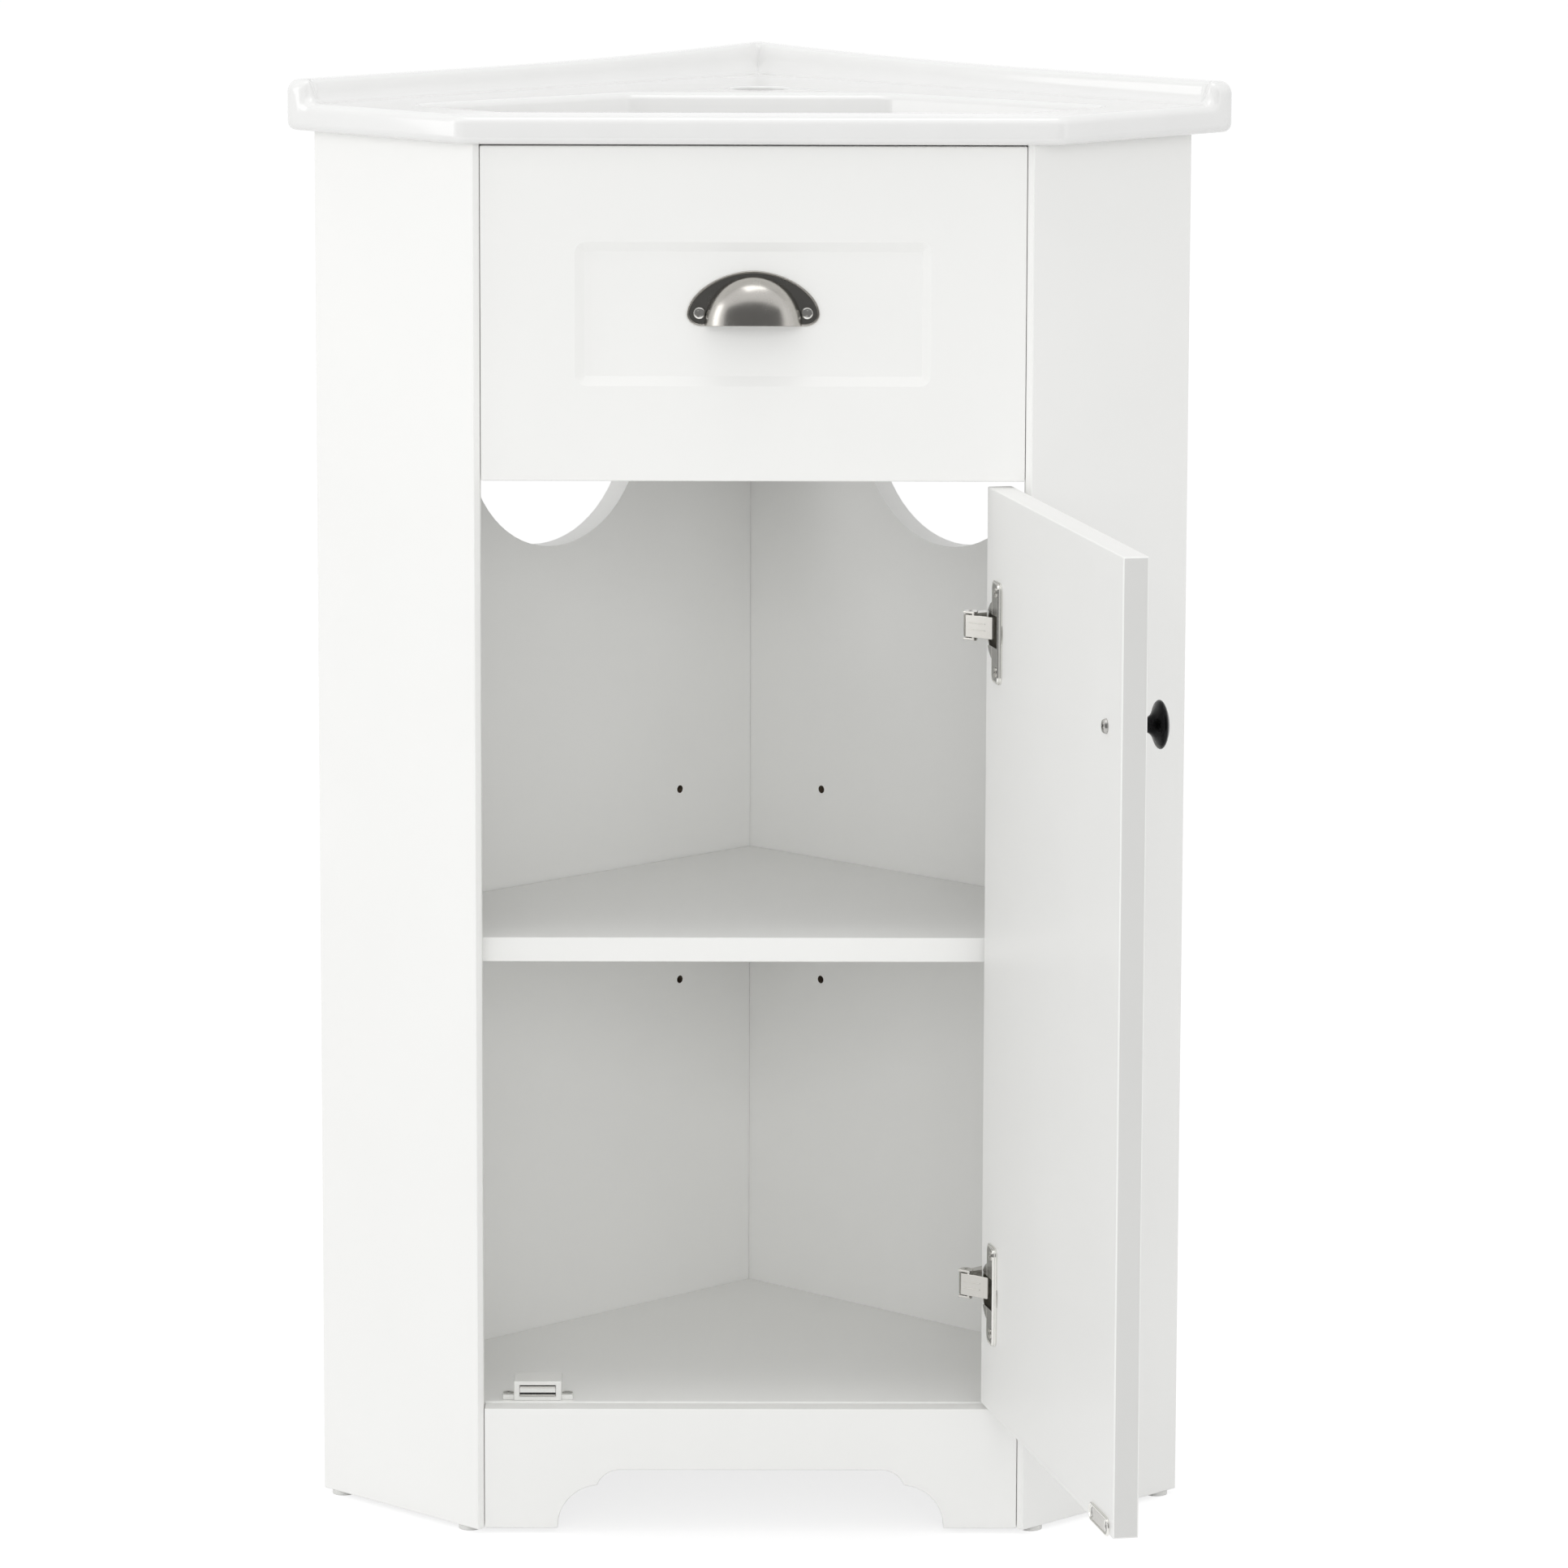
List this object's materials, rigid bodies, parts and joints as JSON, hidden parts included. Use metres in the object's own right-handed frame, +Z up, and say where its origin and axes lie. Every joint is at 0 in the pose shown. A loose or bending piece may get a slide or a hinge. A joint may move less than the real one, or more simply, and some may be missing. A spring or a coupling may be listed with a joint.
{
  "type": "corner vanity unit",
  "caption": "Five-sided corner bathroom cabinet with ceramic corner basin, fixed drawer front, hinged door, shelf and arched plinth.",
  "frame": {"origin": "centre of the bounding box on the floor, with the door standing open as at rest", "axes": "+Z up, -Y the way the front faces, +Y into the room corner, +X to the right seen from the front"},
  "size_m": [0.5728, 0.6887, 0.878],
  "materials": {
    "ceramic": "glossy white glaze",
    "board": "satin white foil over fibreboard",
    "white_plastic": "satin",
    "zinc": "bright zinc",
    "nickel": "nickel plate",
    "satin_nickel": "satin nickel",
    "dark_steel": "dark plated",
    "knob_metal": "satin dark",
    "magnet": "matt ferrite",
    "beech": "bare beech"
  },
  "bodies": {
    "cabinet": {"washbasin": "ceramic", "left_side_panel": "board", "right_side_panel": "board", "left_back_panel": "board", "right_back_panel": "board", "floor_panel": "board", "shelf": "board", "shelf_pins": "nickel", "drawer_front": "board", "plinth": "board", "corner_blocks": "white_plastic", "block_screws": "zinc", "cam_locks": "zinc", "cam_bolts": "zinc", "corner_screws": "zinc", "dowels": "beech", "floor_glides": "white_plastic", "catch_body": "white_plastic", "catch_poles": "dark_steel", "catch_magnet": "magnet", "catch_screws": "zinc", "cup_pull": "satin_nickel", "pull_screws": "satin_nickel", "upper_hinge_arm": "nickel", "lower_hinge_arm": "nickel", "upper_hinge_base": "nickel", "lower_hinge_base": "nickel", "upper_hinge_pin": "nickel", "lower_hinge_pin": "nickel", "hinge_screws": "nickel"},
    "door": {"door": "board", "door_knob": "knob_metal", "knob_screw": "zinc", "strike_plate": "dark_steel", "strike_screws": "zinc", "upper_hinge_cup": "nickel", "lower_hinge_cup": "nickel", "cup_screws": "nickel"},
    "upper_link": {"upper_hinge_link": "nickel"},
    "lower_link": {"lower_hinge_link": "nickel"}
  },
  "joints": [
    {"name": "door_swing", "type": "hinge", "parent": "cabinet", "child": "door", "pos_m": [0.149, -0.03648, 0.3615], "axis": [0, 0, 1], "range_deg": [-101.7, 3.3]},
    {"name": "upper_link_turn", "type": "hinge", "parent": "cabinet", "child": "upper_link", "pos_m": [0.1265, -0.02818, 0.5585], "axis": [0, 0, 1], "range_deg": [-1.4, 37]},
    {"name": "lower_link_turn", "type": "hinge", "parent": "cabinet", "child": "lower_link", "pos_m": [0.1265, -0.02818, 0.1545], "axis": [0, 0, 1], "range_deg": [-1.4, 37]}
  ],
  "couplings": [
    {"joint": "upper_link_turn", "follows": "door_swing", "ratio": -0.35682},
    {"joint": "lower_link_turn", "follows": "door_swing", "ratio": -0.35682}
  ]
}
